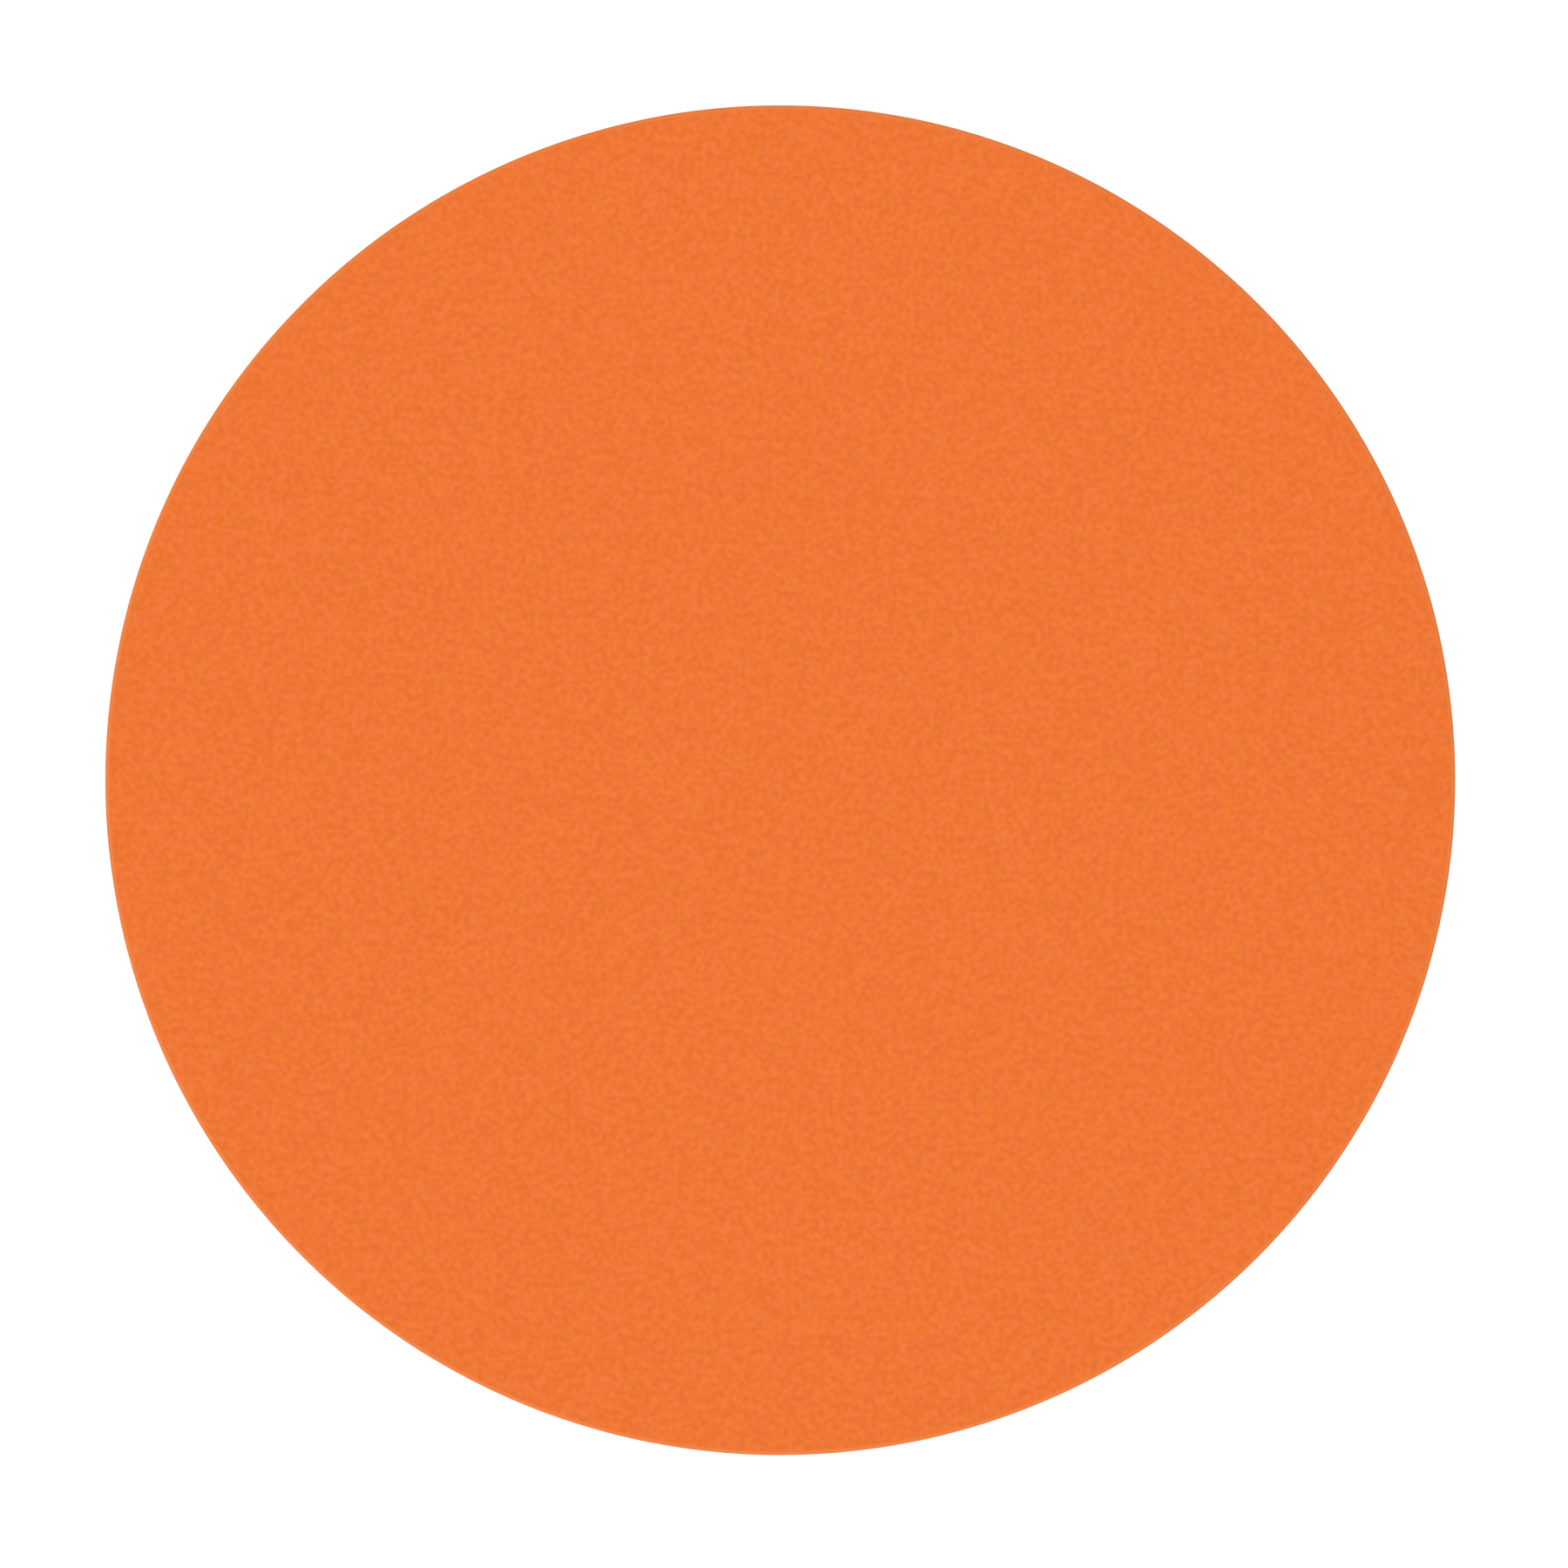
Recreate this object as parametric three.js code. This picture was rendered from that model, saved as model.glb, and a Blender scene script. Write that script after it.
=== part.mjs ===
// Soft flying disc, laminated from flat sheets of closed-cell foam. Millimetres, +Z up.
//
// The disc lies face up on its rim. The origin is the centre of the rim's resting face,
// so the ground is z = 0 and +Z is the spin axis.
//
// Its layers, from the ground up:
//   base_ring            thick foam ring with buffed lower edges, which the fingers hold
//   base_bond_film       adhesive film between the base ring and the channel rings
//   channel_outer_ring   outer half of the channel ply
//   channel_inner_ring   inner half of the channel ply
//   rim_hoop             plastic tube in the channel, which stiffens and weights the rim
//   hoop_joint_pin       plug inside the tube, which joins the hoop's two ends
//   face_bond_film       adhesive film between the channel rings and the face sheet
//   face_sheet           one flat foam sheet that reaches from edge to edge

import * as THREE from 'three';

// Foam layers.
const DISC_DIAMETER = 240;
const RIM_WIDTH = 18;
const FACE_THICKNESS = 6;
const CHANNEL_PLY_THICKNESS = 6;
const BASE_THICKNESS = 10;
const FACE_EDGE_RADIUS = 0.8;
const BASE_OUTER_EDGE_RADIUS = 6;
const BASE_INNER_EDGE_RADIUS = 3;

// Bond films, which stop short of the foam's cut edges.
const FILM_THICKNESS = 0.25;
const FILM_SETBACK = 0.5;

// Hoop, and the pin that joins its ends.
const HOOP_TUBE_DIAMETER = 5.4;
const HOOP_BORE_DIAMETER = 3.4;
const HOOP_CLEARANCE = 0.3;
const HOOP_END_GAP = 1;
const PIN_DIAMETER = 2.6;
const PIN_LENGTH = 30;

// Facets.
const RING_SEGMENTS = 144;
const EDGE_SEGMENTS = 4;
const TUBE_SIDES = 10;
const HOOP_STEPS = 80;
const PIN_STEPS = 8;

// Radii and heights that follow from the sizes above.
const OUTER_RADIUS = DISC_DIAMETER / 2;
const INNER_RADIUS = OUTER_RADIUS - RIM_WIDTH;
const HOOP_PITCH_RADIUS = (OUTER_RADIUS + INNER_RADIUS) / 2;
const CHANNEL_HALF_WIDTH = HOOP_TUBE_DIAMETER / 2 + HOOP_CLEARANCE;
const BASE_TOP = BASE_THICKNESS;
const CHANNEL_BOTTOM = BASE_TOP + FILM_THICKNESS;
const CHANNEL_TOP = CHANNEL_BOTTOM + CHANNEL_PLY_THICKNESS;
const FACE_BOTTOM = CHANNEL_TOP + FILM_THICKNESS;
const FACE_TOP = FACE_BOTTOM + FACE_THICKNESS;

const orangeFoam = { color: 0xee7837, roughness: 0.9, metalness: 0 };
const adhesiveFilm = { color: 0xc09154, roughness: 0.45, metalness: 0 };
const hoopPlastic = { color: 0xe4e2da, roughness: 0.5, metalness: 0 };
const pinPlastic = { color: 0x55585c, roughness: 0.55, metalness: 0 };

/** A point of a lathe profile. */
function point(radius, height) {
  return new THREE.Vector2(radius, height);
}

/** A quarter circle of a lathe profile, counter-clockwise about (x, y) from startAngle. */
function roundedCorner(x, y, radius, startAngle) {
  return Array.from({ length: EDGE_SEGMENTS + 1 }, (_, i) => {
    const angle = startAngle + ((Math.PI / 2) * i) / EDGE_SEGMENTS;
    return point(x + radius * Math.cos(angle), y + radius * Math.sin(angle));
  });
}

/** A solid of revolution about Z, from a profile of (radius, height) points. */
function revolve(profile) {
  return new THREE.LatheGeometry(profile, RING_SEGMENTS).rotateX(Math.PI / 2);
}

/** A ring about Z, from the corners of its section, counter-clockwise. */
function revolveRing(section) {
  return revolve([...section, section[0]]);
}

/** A ring of rectangular section. */
function flatRing(innerRadius, outerRadius, bottom, top) {
  return revolveRing([
    point(innerRadius, bottom),
    point(outerRadius, bottom),
    point(outerRadius, top),
    point(innerRadius, top),
  ]);
}

/** The flat sheet that covers the whole disc, with its upper edge just broken. */
function faceSheet() {
  const edge = FACE_EDGE_RADIUS;
  return revolve([
    point(0, FACE_BOTTOM),
    point(OUTER_RADIUS, FACE_BOTTOM),
    ...roundedCorner(OUTER_RADIUS - edge, FACE_TOP - edge, edge, 0),
    point(0, FACE_TOP),
  ]);
}

/** The foam ring that meets the ground, with both lower edges buffed round. */
function baseRing() {
  const inner = BASE_INNER_EDGE_RADIUS;
  const outer = BASE_OUTER_EDGE_RADIUS;
  return revolveRing([
    ...roundedCorner(INNER_RADIUS + inner, inner, inner, Math.PI),
    ...roundedCorner(OUTER_RADIUS - outer, outer, outer, -Math.PI / 2),
    point(OUTER_RADIUS, BASE_TOP),
    point(INNER_RADIUS, BASE_TOP),
  ]);
}

/** An adhesive film as wide as the rim, less its setback at both edges. */
function bondFilm(bottom) {
  return flatRing(
    INNER_RADIUS + FILM_SETBACK,
    OUTER_RADIUS - FILM_SETBACK,
    bottom,
    bottom + FILM_THICKNESS,
  );
}

/** The channel's centre line from one angle to another, counted from +X. */
class ChannelArc extends THREE.Curve {
  constructor(startAngle, endAngle) {
    super();
    this.startAngle = startAngle;
    this.endAngle = endAngle;
  }

  getPoint(t, target = new THREE.Vector3()) {
    const angle = THREE.MathUtils.lerp(this.startAngle, this.endAngle, t);
    return target.set(
      HOOP_PITCH_RADIUS * Math.cos(angle),
      HOOP_PITCH_RADIUS * Math.sin(angle),
      (CHANNEL_BOTTOM + CHANNEL_TOP) / 2,
    );
  }
}

/** A round bar, or a tube if it has a bore, bent along the channel. */
function bentBar(diameter, boreDiameter, startAngle, endAngle, steps) {
  const section = new THREE.Shape().absarc(0, 0, diameter / 2, 0, 2 * Math.PI);
  if (boreDiameter > 0) {
    section.holes.push(new THREE.Path().absarc(0, 0, boreDiameter / 2, 0, 2 * Math.PI));
  }
  return new THREE.ExtrudeGeometry(section, {
    extrudePath: new ChannelArc(startAngle, endAngle),
    curveSegments: TUBE_SIDES / 2,
    steps,
  });
}

/** The hoop: a tube that runs once round the channel, with a small gap between its ends. */
function rimHoop() {
  const halfGapAngle = HOOP_END_GAP / 2 / HOOP_PITCH_RADIUS;
  return bentBar(
    HOOP_TUBE_DIAMETER,
    HOOP_BORE_DIAMETER,
    halfGapAngle,
    2 * Math.PI - halfGapAngle,
    HOOP_STEPS,
  );
}

/** The pin inside the tube, centred on the gap between the hoop's ends. */
function hoopJointPin() {
  const halfAngle = PIN_LENGTH / 2 / HOOP_PITCH_RADIUS;
  return bentBar(PIN_DIAMETER, 0, -halfAngle, halfAngle, PIN_STEPS);
}

const disc = new THREE.Group();

function addPiece(name, geometry, finish) {
  const piece = new THREE.Mesh(geometry, new THREE.MeshStandardMaterial(finish));
  piece.name = name;
  disc.add(piece);
}

addPiece('base_ring', baseRing(), orangeFoam);
addPiece('base_bond_film', bondFilm(BASE_TOP), adhesiveFilm);
addPiece(
  'channel_outer_ring',
  flatRing(HOOP_PITCH_RADIUS + CHANNEL_HALF_WIDTH, OUTER_RADIUS, CHANNEL_BOTTOM, CHANNEL_TOP),
  orangeFoam,
);
addPiece(
  'channel_inner_ring',
  flatRing(INNER_RADIUS, HOOP_PITCH_RADIUS - CHANNEL_HALF_WIDTH, CHANNEL_BOTTOM, CHANNEL_TOP),
  orangeFoam,
);
addPiece('rim_hoop', rimHoop(), hoopPlastic);
addPiece('hoop_joint_pin', hoopJointPin(), pinPlastic);
addPiece('face_bond_film', bondFilm(CHANNEL_TOP), adhesiveFilm);
addPiece('face_sheet', faceSheet(), orangeFoam);

export default disc;
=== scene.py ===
"""The looks of a soft flying disc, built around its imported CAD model. Metres, +Z up.

The disc is laminated from die-cut sheets of closed-cell foam, and its rim is then buffed
round on a wheel. Each CAD piece is replaced by a finer one that shows how it was made:
plies a hair out of line inside the rim, waisted die-cut walls, thin glue lines, a buffed
outer wall, and a moulded skin on the flat faces.
"""

import math
import random

import bpy
import numpy as np
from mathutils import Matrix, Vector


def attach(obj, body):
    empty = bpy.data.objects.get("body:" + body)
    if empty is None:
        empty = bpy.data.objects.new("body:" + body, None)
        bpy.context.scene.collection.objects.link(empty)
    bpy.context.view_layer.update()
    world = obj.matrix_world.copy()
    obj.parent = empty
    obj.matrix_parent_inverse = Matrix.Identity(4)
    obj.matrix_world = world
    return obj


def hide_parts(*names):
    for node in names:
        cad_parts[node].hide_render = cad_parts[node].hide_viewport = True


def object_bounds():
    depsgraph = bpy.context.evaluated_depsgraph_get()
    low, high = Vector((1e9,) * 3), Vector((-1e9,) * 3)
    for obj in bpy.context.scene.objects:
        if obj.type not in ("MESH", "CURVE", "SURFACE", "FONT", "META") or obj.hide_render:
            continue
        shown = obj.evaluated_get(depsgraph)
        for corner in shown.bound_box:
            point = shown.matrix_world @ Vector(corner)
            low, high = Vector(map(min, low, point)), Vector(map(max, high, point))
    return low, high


MM = 0.001

# Edges and walls of the foam.
CORNER_RADIUS = 0.3 * MM
FACE_EDGE_RADIUS = 0.8 * MM
OUTER_BUFF_RADIUS = 6 * MM
INNER_BUFF_RADIUS = 3 * MM
WAIST_DEPTH = 0.2 * MM

# How far hand-laid foam strays from true circles and planes.
RIM_RIPPLE = 0.015 * MM
CUT_RIPPLE = 0.05 * MM
PLY_SHIFT = 0.2 * MM
PLY_WAVE = 0.12 * MM

# Mesh of the foam. RIM_SEGMENTS and LEAST_SEGMENTS are points round a loop, at the rim and near
# the axis. Each of the face's loops is FACE_LOOP_RATIO times as wide as the one outside it.
# An edge that turns by more than CREASE_ANGLE degrees is shaded as sharp.
WALL_ROW = 0.6 * MM
CORNER_ROWS = 5
FLAT_LOOPS = 4
FACE_LOOPS = 34
FACE_LOOP_RATIO = 0.88
RIM_SEGMENTS = 960
LEAST_SEGMENTS = 15
CREASE_ANGLE = 40

# Films, hoop and pin, all sealed inside the rim.
FILM_CREEP = 0.08 * MM
TUBE_SIDES = 24
TUBE_CHAMFER = 0.25 * MM
HOOP_STATIONS = 240
PIN_STATIONS = 16

# Surfaces of a foam piece, in the order of its material slots.
SKIN, BUFFED, CUT = range(3)

# How noise is turned, in radians, so that no flat face runs along the grid it is made on, and
# the range that most of its values lie in.
NOISE_TILT = (0.6, 0.8, 0)
NOISE_LOW, NOISE_HIGH = 0.3, 0.7

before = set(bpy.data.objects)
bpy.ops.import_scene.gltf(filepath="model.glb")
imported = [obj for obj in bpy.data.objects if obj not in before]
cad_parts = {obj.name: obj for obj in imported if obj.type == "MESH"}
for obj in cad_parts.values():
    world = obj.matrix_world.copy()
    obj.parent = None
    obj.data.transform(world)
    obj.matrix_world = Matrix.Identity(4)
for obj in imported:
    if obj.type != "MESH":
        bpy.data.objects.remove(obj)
cad_low, cad_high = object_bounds()


# ---------------------------------------------------------------- meshes


def bridge(a, b):
    """Faces from loop a to loop b. One may have half as many points as the other, or be one point."""
    n, m = len(a), len(b)
    if n < m:
        return [face[::-1] for face in bridge(b, a)]
    if m == 1:
        return [(a[i], a[(i + 1) % n], b[0]) for i in range(n)]
    if n == m:
        return [(a[i], a[(i + 1) % n], b[(i + 1) % n], b[i]) for i in range(n)]
    faces = []
    for i in range(m):
        start, middle, end = a[2 * i], a[2 * i + 1], a[(2 * i + 2) % n]
        here, there = b[i], b[(i + 1) % m]
        faces += [(start, middle, here), (here, middle, there), (middle, end, there)]
    return faces


def wrap(name, loops, closed, surfaces=None):
    """A closed mesh through loops of points. A closed row of loops joins its last to its first.
    surfaces gives the surface of each loop, and a band between two surfaces is skin."""
    starts = np.cumsum([0] + [len(loop) for loop in loops]).tolist()
    numbers = [list(range(a, b)) for a, b in zip(starts, starts[1:])]
    following = numbers[1:] + numbers[:1] if closed else numbers[1:]
    bands = [bridge(a, b) for a, b in zip(numbers, following)]
    faces = [face for band in bands for face in band]
    mesh = bpy.data.meshes.new(name)
    mesh.from_pydata(np.concatenate(loops).tolist(), [], faces)
    if surfaces:
        between = [min(pair) for pair in zip(surfaces, surfaces[1:] + surfaces[:1])]
        sizes = [len(band) for band in bands]
        mesh.polygons.foreach_set("material_index", np.repeat(between[: len(bands)], sizes))
    mesh.shade_smooth()
    mesh.set_sharp_from_angle(angle=math.radians(CREASE_ANGLE))
    piece = bpy.data.objects.new(name, mesh)
    bpy.context.scene.collection.objects.link(piece)
    return piece


def settle(height, angles):
    """The height of a point once glued: the plies are a hair thicker in some places than in others."""
    bow = math.sin(math.pi * height / cad_high.z)
    waves = 0.625 * np.cos(2 * angles + 1) + 0.375 * np.cos(5 * angles + 2)
    return height + PLY_WAVE * bow * waves


def segments_at(radius):
    """Points round a loop about Z: all of them near the rim, half as many each time the radius halves."""
    if radius == 0:
        return 1
    halvings = int(math.log2(cad_high.x / radius))
    return max(RIM_SEGMENTS >> halvings, LEAST_SEGMENTS)


def revolve(name, stretches, stray):
    """A body of revolution about Z. Each stretch is a surface and its (radius, height) points, and
    they run outward, up, inward and down. stray(radius, angles) is how far points lie off their circle."""
    loops, surfaces = [], []
    for surface, points in stretches:
        for radius, height in points:
            count = segments_at(radius)
            angles = np.arange(count) * 2 * math.pi / count
            r = radius + stray(radius, angles) if radius else np.zeros(1)
            z = settle(height, angles)
            loops.append(np.column_stack([r * np.cos(angles), r * np.sin(angles), z]))
            surfaces.append(surface)
    starts_on_axis = stretches[0][1][0][0] == 0
    return wrap(name, loops, not starts_on_axis, surfaces)


def sweep(name, pitch, height, stations):
    """A body bent along a circle about Z, from (angle, section radius) stations. A radius of 0 is an end.
    The section's points run backwards, so that the faces point out."""
    turn = np.linspace(2 * math.pi, 0, TUBE_SIDES, endpoint=False)
    loops = []
    for angle, radius in stations:
        around = turn if radius else turn[:1]
        r = pitch + radius * np.cos(around)
        z = settle(height, angle) + radius * np.sin(around)
        loops.append(np.column_stack([r * math.cos(angle), r * math.sin(angle), z]))
    starts_at_point = stations[0][1] == 0
    return wrap(name, loops, not starts_at_point)


# ---------------------------------------------------------------- sections


def corner(radius, height, size, side, start):
    """A rounded corner on the way up a wall: a quarter turn from start, in degrees.
    side is 1 on an outer wall and -1 on an inner one."""
    steps = max(CORNER_ROWS, round(size / WALL_ROW))
    turn = np.radians(np.linspace(start, start + 90, steps + 1))
    return [(radius + side * size * (math.cos(t) - 1), height + size * math.sin(t)) for t in turn]


def wall(radius, low, high, side, foot, head, waist):
    """Points up a foam wall. foot and head are the radii of its lower and upper corners.
    waist is how far it draws in between them: foam bulges under the die and springs back."""
    start, end = low + foot, high - head
    rows = max(2, round((end - start) / WALL_ROW))
    middle = []
    for i in range(1, rows):
        share = i / rows
        inset = waist * math.sin(math.pi * share)
        middle.append((radius - side * inset, start + share * (end - start)))
    return corner(radius, start, foot, side, -90) + middle + corner(radius, end, head, side, 0)


def flat(start, end, height):
    """Points between two radii at one height. The outermost two are close to the ends, so that the
    shading of the corners stays in the corners."""
    step = math.copysign(WALL_ROW, end - start)
    return [(radius, height) for radius in np.linspace(start + step, end - step, FLAT_LOOPS)]


def ring_stretches(ring, inner_foot, outer_foot, outer_surface):
    """The section of a foam ring: its underside, its outer wall, its top and its die-cut inner wall."""
    inner, outer, low, high = ring
    outer_waist = WAIST_DEPTH if outer_surface == CUT else 0
    up = wall(outer, low, high, 1, outer_foot, CORNER_RADIUS, outer_waist)
    down = wall(inner, low, high, -1, inner_foot, CORNER_RADIUS, WAIST_DEPTH)[::-1]
    bottom = flat(down[-1][0], up[0][0], low)
    top = flat(up[-1][0], down[0][0], high)
    return [(SKIN, bottom), (outer_surface, up), (SKIN, top), (CUT, down)]


def face_stretches(outer, low, high):
    """The section of the face sheet: from the axis out, up its wall, and back to the axis."""
    up = wall(outer, low, high, 1, CORNER_RADIUS, FACE_EDGE_RADIUS, 0)
    radii = [(up[-1][0] - WALL_ROW) * FACE_LOOP_RATIO**i for i in range(FACE_LOOPS)]
    bottom = [(0, low)] + [(radius, low) for radius in reversed(radii)]
    top = [(radius, high) for radius in radii] + [(0, high)]
    return [(SKIN, bottom), (BUFFED, up), (SKIN, top)]


def ripple(seed, amplitude):
    """A function of angle: small waves round a soft edge, the longer the higher."""
    rng = random.Random(seed)
    counts = (2, 3, 5, 8, 13, 21, 34, 55, 89)
    waves = [(n, rng.uniform(0, 2 * math.pi), amplitude / math.sqrt(n)) for n in counts]
    return lambda angles: sum(height * np.cos(n * angles + phase) for n, phase, height in waves)


def glued_off_centre(edge, towards):
    """A cut edge of a ply that was glued down a hair to one side, in degrees from +X."""
    return lambda angles: edge(angles) + PLY_SHIFT * np.cos(angles - math.radians(towards))


def stray_between(ring, inner_edge, outer_edge):
    """How far a ring's points lie off their circles, from one function of angle at its inner edge
    to another at its outer edge."""
    inner, outer = ring[:2]

    def stray(radius, angles):
        share = min(max((radius - inner) / (outer - inner), 0), 1)
        return share * outer_edge(angles) + (1 - share) * inner_edge(angles)

    return stray


# ---------------------------------------------------------------- sizes from the frame


def cylindrical(node):
    """The radius, angle and height of each corner of a CAD node."""
    co = np.array([v.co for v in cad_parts[node].data.vertices], float)
    return np.hypot(co[:, 0], co[:, 1]), np.arctan2(co[:, 1], co[:, 0]), co[:, 2]


def ring_of(node):
    """(inner radius, outer radius, low, high) of a CAD ring."""
    radius, _, z = cylindrical(node)
    return radius.min(), radius.max(), z.min(), z.max()


# ---------------------------------------------------------------- pieces

buffed_rim = ripple(1, RIM_RIPPLE)


def face_sheet():
    ring = _, outer, low, high = ring_of("face_sheet")
    stray = stray_between(ring, buffed_rim, buffed_rim)
    return revolve("face_sheet_foam", face_stretches(outer, low, high), stray)


def base_ring():
    ring = ring_of("base_ring")
    stretches = ring_stretches(ring, INNER_BUFF_RADIUS, OUTER_BUFF_RADIUS, BUFFED)
    stray = stray_between(ring, glued_off_centre(ripple(2, CUT_RIPPLE), 250), buffed_rim)
    return revolve("base_ring_foam", stretches, stray)


def channel_outer_ring():
    ring = ring_of("channel_outer_ring")
    stretches = ring_stretches(ring, CORNER_RADIUS, CORNER_RADIUS, BUFFED)
    stray = stray_between(ring, ripple(3, CUT_RIPPLE), buffed_rim)
    return revolve("channel_outer_ring_foam", stretches, stray)


def channel_inner_ring():
    ring = ring_of("channel_inner_ring")
    stretches = ring_stretches(ring, CORNER_RADIUS, CORNER_RADIUS, CUT)
    stray = stray_between(ring, glued_off_centre(ripple(4, CUT_RIPPLE), 40), ripple(5, CUT_RIPPLE))
    return revolve("channel_inner_ring_foam", stretches, stray)


def bond_film(node, seed):
    """A film whose edges creep unevenly towards the edges of the foam."""
    ring = inner, outer, low, high = ring_of(node)
    section = [(inner, low), (outer, low), (outer, high), (inner, high)]
    stray = stray_between(ring, ripple(seed, FILM_CREEP), ripple(seed + 1, FILM_CREEP))
    return revolve(node + "_sheet", [(0, section)], stray)


def hoop():
    """The tube, chamfered at the mouths of its two ends."""
    radius, angle, z = cylindrical("rim_hoop")
    pitch = (radius.min() + radius.max()) / 2
    height = (z.min() + z.max()) / 2
    outside = (z.max() - z.min()) / 2
    inside = np.hypot(radius - pitch, z - height).min()
    start = np.abs(angle).min()
    end = 2 * math.pi - start
    chamfer = TUBE_CHAMFER / pitch
    along = np.linspace(start + chamfer, end - chamfer, HOOP_STATIONS)
    outer_lip, inner_lip = outside - TUBE_CHAMFER, inside + TUBE_CHAMFER
    there = [(start, outer_lip)] + [(t, outside) for t in along] + [(end, outer_lip)]
    back = [(end, inner_lip)] + [(t, inside) for t in reversed(along)] + [(start, inner_lip)]
    return sweep("rim_hoop_tube", pitch, height, there + back)


def joint_pin():
    """The solid pin, chamfered at both ends."""
    radius, angle, z = cylindrical("hoop_joint_pin")
    pitch = (radius.min() + radius.max()) / 2
    height = (z.min() + z.max()) / 2
    thickness = (z.max() - z.min()) / 2
    end = np.abs(angle).max()
    chamfer = TUBE_CHAMFER / pitch
    nose = thickness - TUBE_CHAMFER
    body = [(t, thickness) for t in np.linspace(chamfer - end, end - chamfer, PIN_STATIONS)]
    stations = [(-end, 0), (-end, nose)] + body + [(end, nose), (end, 0)]
    return sweep("hoop_joint_plug", pitch, height, stations)


# ---------------------------------------------------------------- materials


def srgb(*levels):
    """A colour as linear light, from 8-bit display levels."""
    shares = [level / 255 for level in levels]
    return [c / 12.92 if c <= 0.04045 else ((c + 0.055) / 1.055) ** 2.4 for c in shares] + [1.0]


class Shader:
    """A node material with one Principled shader, and short ways to add nodes to it."""

    def __init__(self, name, **uniform):
        self.material = bpy.data.materials.new(name)
        self.material.use_nodes = True
        self.tree = self.material.node_tree
        self.surface = self.tree.nodes["Principled BSDF"]
        for socket, value in uniform.items():
            self.surface.inputs[socket.replace("_", " ")].default_value = value
        self.position = self.add("ShaderNodeTexCoord").outputs["Object"]

    def add(self, kind, inputs=None, **settings):
        """A node. inputs gives sockets, by name or number, a value or another node's output."""
        node = self.tree.nodes.new(kind)
        for key, value in settings.items():
            setattr(node, key, value)
        for key, value in (inputs or {}).items():
            if isinstance(value, bpy.types.NodeSocket):
                self.tree.links.new(value, node.inputs[key])
            else:
                node.inputs[key].default_value = value
        return node

    def math(self, operation, a, b):
        return self.add("ShaderNodeMath", {0: a, 1: b}, operation=operation).outputs[0]

    def weighted(self, *pairs):
        """The sum of (value, weight) pairs."""
        total = 0.0
        for value, weight in pairs:
            total = self.math("ADD", self.math("MULTIPLY", value, weight), total)
        return total

    def remap(self, value, low, high, to_low=0.0, to_high=1.0):
        """value taken from low..high to another range, and kept inside that range."""
        limits = {"From Min": low, "From Max": high, "To Min": to_low, "To Max": to_high}
        return self.add("ShaderNodeMapRange", {"Value": value, **limits}).outputs["Result"]

    def spread(self, noise, to_low=0.0, to_high=1.0):
        """Noise, which crowds about 0.5, taken to the whole of a range."""
        return self.remap(noise, NOISE_LOW, NOISE_HIGH, to_low, to_high)

    def noise(self, size, detail=0.0, stretch=(1, 1, 1)):
        """Noise about 0.5 with lumps about size across, or that size over stretch along each axis."""
        tilted = {"Vector": self.position, "Scale": stretch, "Rotation": NOISE_TILT}
        position = self.add("ShaderNodeMapping", tilted).outputs[0]
        sockets = {"Vector": position, "Scale": 1 / size, "Detail": detail}
        return self.add("ShaderNodeTexNoise", sockets).outputs["Fac"]

    def height(self):
        """How high above the ground a point is."""
        return self.add("ShaderNodeSeparateXYZ", {0: self.position}).outputs["Z"]

    def cells(self, size):
        """Distance to the middle of the nearest foam cell, in cell sizes."""
        sockets = {"Vector": self.position, "Scale": 1 / size}
        return self.add("ShaderNodeTexVoronoi", sockets).outputs["Distance"]

    def blend(self, share, a, b):
        """Two colours mixed."""
        return self.add("ShaderNodeMix", {0: share, 6: a, 7: b}, data_type="RGBA").outputs[2]

    def finish(self, colour, roughness, height, depth):
        """Links what varies over the surface. depth is the relief, in metres, of a height of 1."""
        bump = self.add("ShaderNodeBump", {"Height": height, "Distance": depth})
        linked = {"Base Color": colour, "Roughness": roughness, "Normal": bump.outputs[0]}
        for socket, value in linked.items():
            self.tree.links.new(value, self.surface.inputs[socket])
        return self.material


def foam_skin():
    """The moulded skin of a foam sheet: a fine even mottle, and a trace of uneven pigment."""
    s = Shader("foam_skin", Specular_IOR_Level=0.15)
    grain = s.noise(1.0 * MM)
    darkest, palest = 0.22, 0.78
    shade = s.remap(grain, darkest, palest)
    warm = s.blend(shade, srgb(234, 113, 44), srgb(244, 124, 54))
    cool = s.blend(shade, srgb(232, 113, 48), srgb(242, 124, 59))
    pigment = s.spread(s.noise(1.8 * MM))
    roughness = s.remap(grain, darkest, palest, 0.95, 0.88)
    return s.finish(s.blend(pigment, warm, cool), roughness, grain, 0.03 * MM)


def foam_buffed():
    """Foam sanded on a wheel: opened cells under a soft nap, faint rings where the wheel ran, colours
    darker than the skin's, partly for the open cells and partly painted shade on the wall, and an upper
    edge blended paler, partly scuffing and partly a painted highlight."""
    s = Shader("foam_buffed", Specular_IOR_Level=0.1)
    cells = s.remap(s.cells(0.6 * MM), 0.0, 0.8)
    nap = s.noise(1.5 * MM, detail=2.0)
    rings = s.noise(0.8 * MM, detail=1.0, stretch=(0, 0, 1))
    patches = s.noise(14 * MM, detail=2.0)
    grain = s.weighted((cells, 0.3), (nap, 0.4), (s.math("MULTIPLY", rings, patches), 0.6))
    # Painted shade, partly real: the wall's colours are darker than the skin's, to set the wall off from
    # the face as well as for its open cells.
    colour = s.blend(s.spread(grain), srgb(194, 85, 31), srgb(228, 114, 52))
    # Painted highlight, partly real scuffing: the top 1.6 mm of the wall is blended paler, where the
    # rounded edge turns from the light.
    scuff_and_painted_highlight = s.remap(s.height(), cad_high.z - 1.6 * MM, cad_high.z - 0.5 * MM)
    colour = s.blend(scuff_and_painted_highlight, colour, srgb(238, 128, 65))
    roughness = s.spread(grain, 0.98, 0.9)
    return s.finish(colour, roughness, grain, 0.12 * MM)


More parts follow.
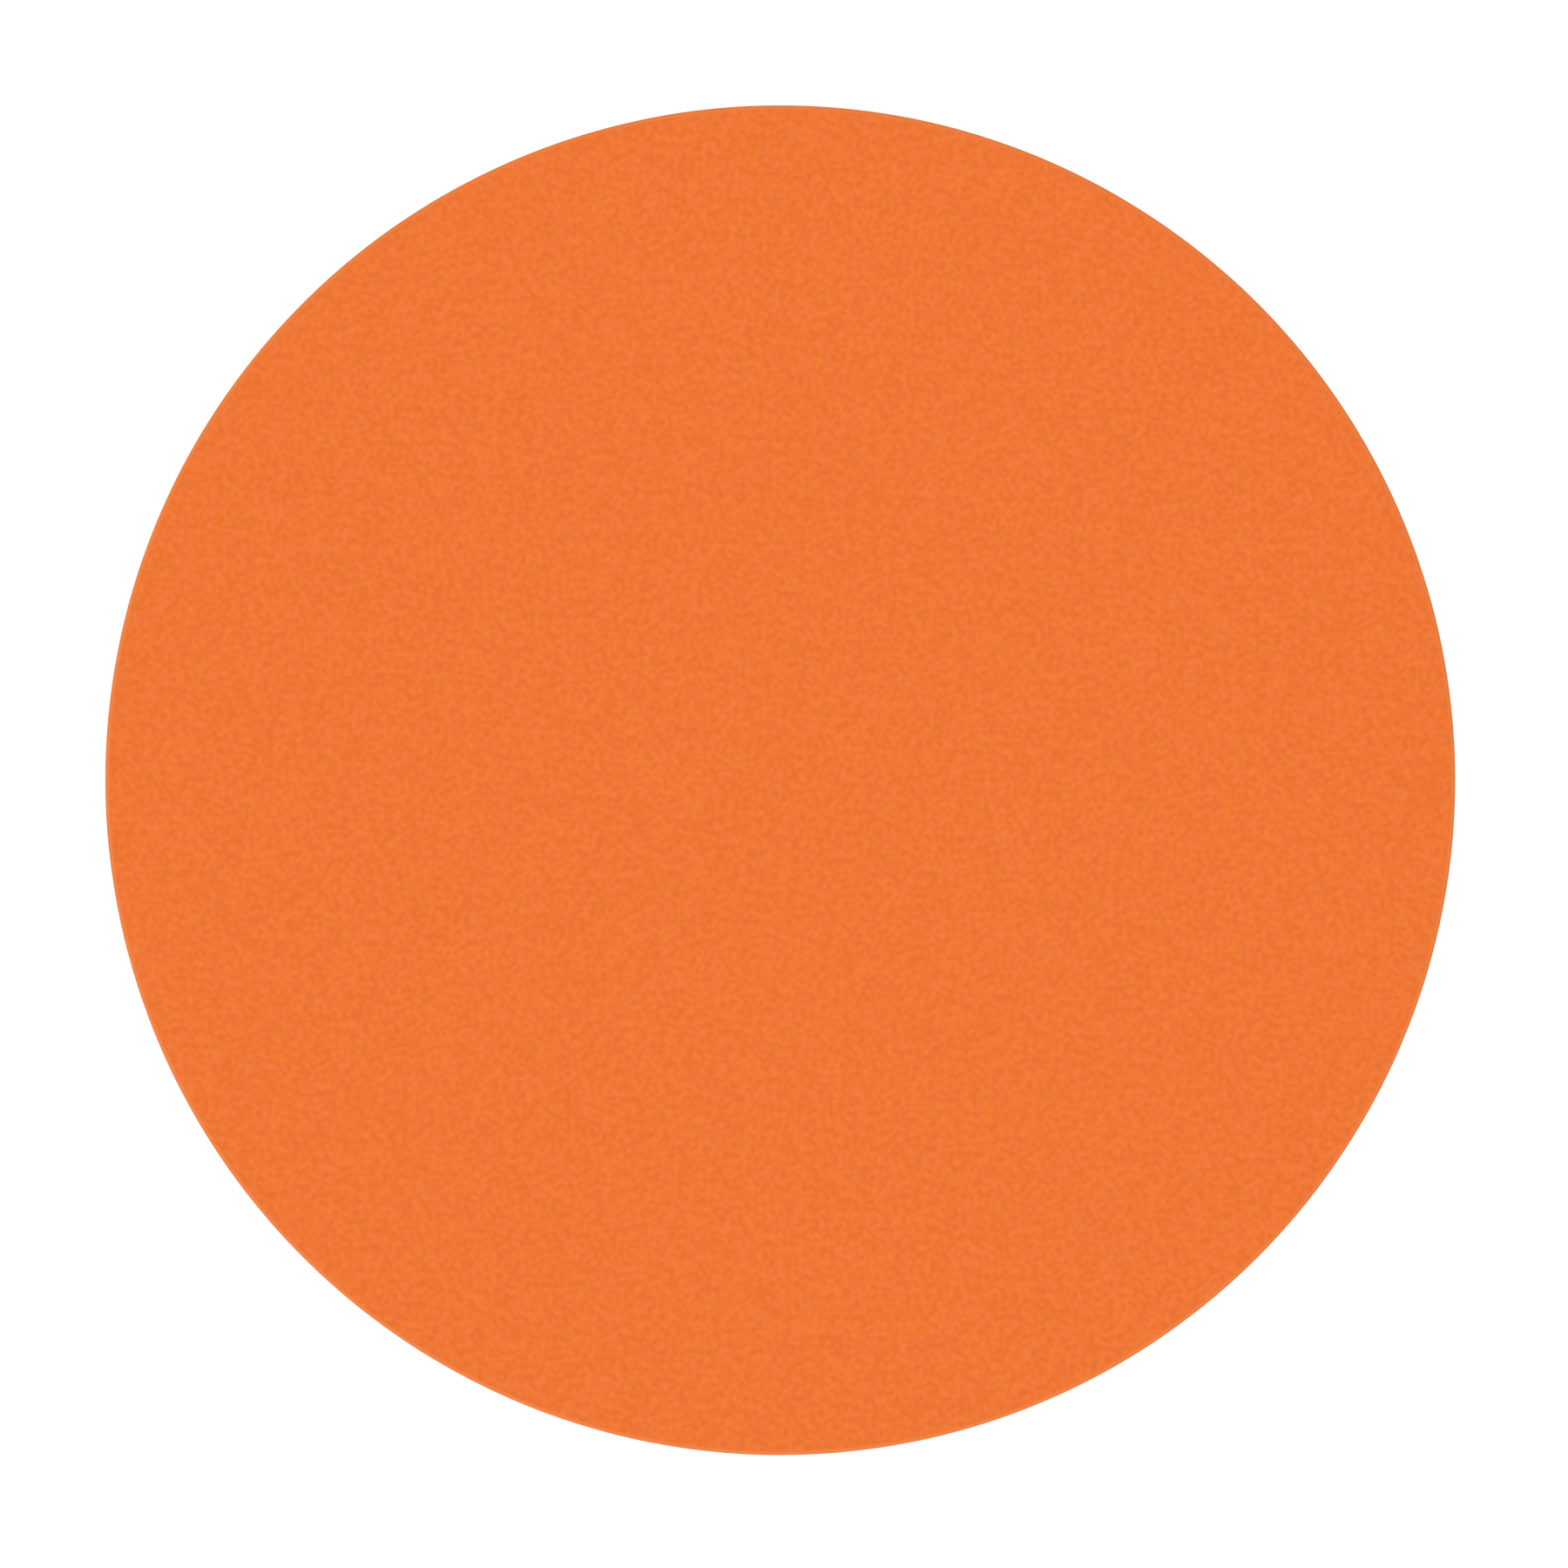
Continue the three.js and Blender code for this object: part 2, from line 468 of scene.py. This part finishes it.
def foam_cut():
    """Die-cut foam: sliced cells, faint streaks along the blade's way down, and colours darker than the
    skin's, partly for the cells and partly painted shade on the wall.
    """
    s = Shader("foam_cut", Specular_IOR_Level=0.1)
    cells = s.remap(s.cells(0.5 * MM), 0.0, 0.8)
    clumps = s.noise(1.4 * MM, detail=2.0)
    streaks = s.noise(1.3 * MM, detail=1.0, stretch=(1, 1, 0.12))
    grain = s.weighted((cells, 0.3), (clumps, 0.35), (streaks, 0.35))
    # Painted shade, partly real: the cut wall's colours are darker than the skin's, to set the wall off
    # from the face as well as for its sliced cells.
    colour = s.blend(s.spread(grain), srgb(190, 82, 30), srgb(226, 112, 49))
    roughness = s.spread(grain, 0.98, 0.9)
    return s.finish(colour, roughness, grain, 0.15 * MM)


def adhesive():
    """Hot-melt film: an amber web, thick and glossy in some places and starved in others."""
    s = Shader("bond_film_adhesive", Specular_IOR_Level=0.4)
    web = s.noise(0.9 * MM, detail=3.0)
    colour = s.blend(s.spread(web), srgb(168, 118, 62), srgb(214, 170, 104))
    roughness = s.spread(web, 0.35, 0.6)
    return s.finish(colour, roughness, web, 0.05 * MM)


def extruded_plastic(name, dark, light):
    """Extruded plastic: draw lines along its length, and a waxy cloud."""
    s = Shader(name, Specular_IOR_Level=0.5)
    cloud = s.noise(6 * MM, detail=2.0)
    lines = s.noise(0.4 * MM, detail=1.0, stretch=(0.15, 0.15, 1))
    roughness = s.spread(s.weighted((cloud, 0.5), (lines, 0.5)), 0.4, 0.6)
    return s.finish(s.blend(s.spread(cloud), dark, light), roughness, lines, 0.02 * MM)


# ---------------------------------------------------------------- stage


def floor():
    """A pale floor with a little light of its own, so that it is white up to the disc's edge."""
    reach, drop = 60, 0.1 * MM
    mesh = bpy.data.meshes.new("floor")
    corners = [(-reach, -reach), (reach, -reach), (reach, reach), (-reach, reach)]
    mesh.from_pydata([(x, y, -drop) for x, y in corners], [], [(0, 1, 2, 3)])
    plane = bpy.data.objects.new("floor", mesh)
    bpy.context.scene.collection.objects.link(plane)
    white = Shader("floor_white", Specular_IOR_Level=0.0, Emission_Strength=0.64)
    white.surface.inputs["Base Color"].default_value = (0.5, 0.5, 0.5, 1)
    white.surface.inputs["Emission Color"].default_value = (1, 1, 1, 1)
    mesh.materials.append(white.material)
    return plane


def horizon():
    """A world that is white below and at the horizon, and dim above it. Where it fades is given as
    the height of a direction, from -1, straight down, to 1, straight up."""
    fade_start, fade_end = 0.13, 0.2
    white, dim = 1.05, 0.2
    world = bpy.data.worlds.new("studio")
    bpy.context.scene.world = world
    world.use_nodes = True
    tree = world.node_tree
    direction = tree.nodes.new("ShaderNodeTexCoord").outputs["Generated"]
    split = tree.nodes.new("ShaderNodeSeparateXYZ")
    fade = tree.nodes.new("ShaderNodeMapRange")
    limits = {"From Min": fade_start, "From Max": fade_end, "To Min": white, "To Max": dim}
    for socket, value in limits.items():
        fade.inputs[socket].default_value = value
    tree.links.new(direction, split.inputs[0])
    tree.links.new(split.outputs["Z"], fade.inputs["Value"])
    tree.links.new(fade.outputs["Result"], tree.nodes["Background"].inputs["Strength"])
    tree.nodes["Background"].inputs["Color"].default_value = (1, 1, 1, 1)


def lamp(name, energy, angle, tilt, ground, link_state):
    """A soft lamp above the disc, tilted to the front left. It lights only the ground, or all but
    the ground."""
    data = bpy.data.lights.new(name, "SUN")
    data.energy = energy
    data.angle = math.radians(angle)
    source = bpy.data.objects.new(name, data)
    source.rotation_euler = (math.radians(tilt), 0, math.radians(-45))
    bpy.context.scene.collection.objects.link(source)
    receivers = bpy.data.collections.new(name + "_receivers")
    receivers.objects.link(ground)
    receivers.collection_objects[0].light_linking.link_state = link_state
    source.light_linking.receiver_collection = receivers


def camera():
    """Straight above the disc, which spans 86% of the frame, a touch up and left of its middle."""
    lens, sensor = 100, 36
    disc_share, off_centre = 0.8618, 0.0024
    frame_width = (cad_high.x - cad_low.x) / disc_share
    data = bpy.data.cameras.new("camera")
    data.lens = lens
    data.sensor_width = sensor
    eye = bpy.data.objects.new("camera", data)
    offset = off_centre * frame_width
    eye.location = (offset, -offset, cad_high.z + frame_width * lens / sensor)
    bpy.context.scene.collection.objects.link(eye)
    bpy.context.scene.camera = eye
    bpy.context.scene.view_settings.view_transform = "Standard"


# ---------------------------------------------------------------- assembly


def place(piece, node, slot, *materials):
    """Puts a piece in a CAD node's place."""
    for material in materials:
        piece.data.materials.append(material)
    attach(piece, "root")
    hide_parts(node)


foam_surfaces = foam_skin(), foam_buffed(), foam_cut()
foam_pieces = {
    "face_sheet": face_sheet(),
    "channel_outer_ring": channel_outer_ring(),
    "channel_inner_ring": channel_inner_ring(),
    "base_ring": base_ring(),
}
for node, foam_piece in foam_pieces.items():
    place(foam_piece, node, "orange_foam", *foam_surfaces)

film_adhesive = adhesive()
place(bond_film("face_bond_film", 6), "face_bond_film", "adhesive_film", film_adhesive)
place(bond_film("base_bond_film", 8), "base_bond_film", "adhesive_film", film_adhesive)

natural = extruded_plastic("natural_polyethylene", srgb(216, 214, 204), srgb(234, 232, 224))
grey = extruded_plastic("grey_polyethylene", srgb(78, 82, 87), srgb(94, 97, 101))
place(hoop(), "rim_hoop", "hoop_plastic", natural)
place(joint_pin(), "hoop_joint_pin", "pin_plastic", grey)

ground = floor()
horizon()
lamp("key_light", energy=2.515, angle=40, tilt=12, ground=ground, link_state="EXCLUDE")
lamp("floor_light", energy=3.14, angle=100, tilt=0, ground=ground, link_state="INCLUDE")
camera()
